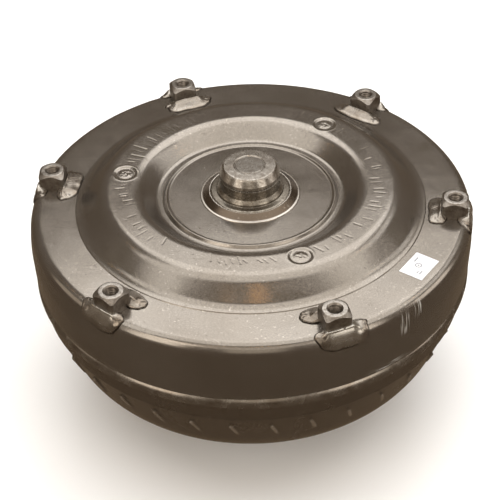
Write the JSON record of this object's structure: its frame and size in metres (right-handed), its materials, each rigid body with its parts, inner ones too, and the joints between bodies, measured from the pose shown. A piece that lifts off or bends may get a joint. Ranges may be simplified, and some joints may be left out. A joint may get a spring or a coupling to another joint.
{
  "type": "torque converter",
  "caption": "Round welded-steel fluid coupling with lock-up clutch that bolts to an engine's flexplate and drives an automatic gearbox.",
  "frame": {"origin": "centre of the drive-lug bolt circle, in the plane of the lug faces that bolt against the flexplate", "axes": "+Z along the shaft axis towards the engine, through the pilot; X and Y lie in the plane of the lug faces, with the first lug 9.4 degrees clockwise of +X"},
  "size_m": [0.3204, 0.32, 0.203],
  "materials": {
    "cover_steel": "smooth satin metallic grey-brown coat over pressed steel, with scratches",
    "shell_steel": "the same coat, a little darker, over pressed steel",
    "weld_steel": "rippled weld bead under the metallic coat",
    "lug_steel": "coated steel lug with worn, brighter edges",
    "pilot_steel": "turned and worn steel, brighter on top",
    "label_paper": "white paper label, blank",
    "pressed_steel": "clean pressed steel sheet, oily",
    "hub_steel": "turned and ground steel",
    "ring_iron": "dark iron sealing ring",
    "friction_paper": "brown paper-based friction lining",
    "spring_steel": "blued spring steel",
    "stator_alloy": "die-cast aluminium",
    "bearing_steel": "ground and hardened bearing steel"
  },
  "bodies": {
    "casing": {"front_cover": "cover_steel", "pilot_boss": "pilot_steel", "pilot_weld": "weld_steel", "drive_lugs": "lug_steel", "lug_welds": "weld_steel", "label": "label_paper", "closure_weld": "weld_steel", "impeller_shell": "shell_steel", "impeller_blades": "pressed_steel", "impeller_core": "pressed_steel", "impeller_hub": "hub_steel", "hub_weld": "weld_steel", "front_bearing_cover_race": "bearing_steel", "rear_bearing_impeller_race": "bearing_steel"},
    "turbine": {"turbine_shell": "pressed_steel", "turbine_blades": "pressed_steel", "turbine_core": "pressed_steel", "turbine_hub": "hub_steel", "turbine_rivets": "hub_steel", "hub_seal_ring": "ring_iron", "driven_plate": "pressed_steel", "front_bearing_hub_race": "bearing_steel", "middle_bearing_turbine_race": "bearing_steel"},
    "damper": {"spring_retainer": "pressed_steel", "damper_springs": "spring_steel"},
    "piston": {"lockup_piston": "pressed_steel", "friction_lining": "friction_paper", "piston_drive_pins": "hub_steel"},
    "stator": {"stator_wheel": "stator_alloy", "clutch_cam": "hub_steel", "clutch_front_cap": "stator_alloy", "clutch_rear_cap": "stator_alloy", "clutch_snap_ring": "spring_steel", "clutch_springs": "spring_steel", "middle_bearing_stator_race": "bearing_steel", "rear_bearing_stator_race": "bearing_steel"},
    "rollers": {"clutch_rollers": "bearing_steel"},
    "inner_race": {"clutch_inner_race": "hub_steel"},
    "front_cage": {"front_bearing_cage": "bearing_steel", "front_bearing_needles": "bearing_steel"},
    "middle_cage": {"middle_bearing_cage": "bearing_steel", "middle_bearing_needles": "bearing_steel"},
    "rear_cage": {"rear_bearing_cage": "bearing_steel", "rear_bearing_needles": "bearing_steel"}
  },
  "joints": [
    {"name": "turbine_spin", "type": "hinge", "parent": "casing", "child": "turbine", "pos_m": [0, 0, 0], "axis": [0, 0, 1], "continuous": true},
    {"name": "stator_spin", "type": "hinge", "parent": "casing", "child": "stator", "pos_m": [0, 0, 0], "axis": [0, 0, 1], "continuous": true},
    {"name": "damper_twist", "type": "hinge", "parent": "turbine", "child": "damper", "pos_m": [0, 0, 0], "axis": [0, 0, 1], "range_deg": [-5, 5], "stiffness_Nm_per_rad": 20},
    {"name": "piston_slide", "type": "slide", "parent": "damper", "child": "piston", "axis": [0, 0, 1], "range_m": [0, 0.00115]},
    {"name": "roller_shift", "type": "hinge", "parent": "stator", "child": "rollers", "pos_m": [0, 0, 0], "axis": [0, 0, 1], "range_deg": [0, 3], "stiffness_Nm_per_rad": 0.05, "springref_deg": -1.15},
    {"name": "race_spin", "type": "hinge", "parent": "stator", "child": "inner_race", "pos_m": [0, 0, 0], "axis": [0, 0, 1], "continuous": true},
    {"name": "front_cage_spin", "type": "hinge", "parent": "casing", "child": "front_cage", "pos_m": [0, 0, 0], "axis": [0, 0, 1], "continuous": true},
    {"name": "middle_cage_spin", "type": "hinge", "parent": "turbine", "child": "middle_cage", "pos_m": [0, 0, 0], "axis": [0, 0, 1], "continuous": true},
    {"name": "rear_cage_spin", "type": "hinge", "parent": "casing", "child": "rear_cage", "pos_m": [0, 0, 0], "axis": [0, 0, 1], "continuous": true}
  ],
  "couplings": [
    {"joint": "front_cage_spin", "follows": "turbine_spin", "ratio": 0.5},
    {"joint": "rear_cage_spin", "follows": "stator_spin", "ratio": 0.5}
  ]
}
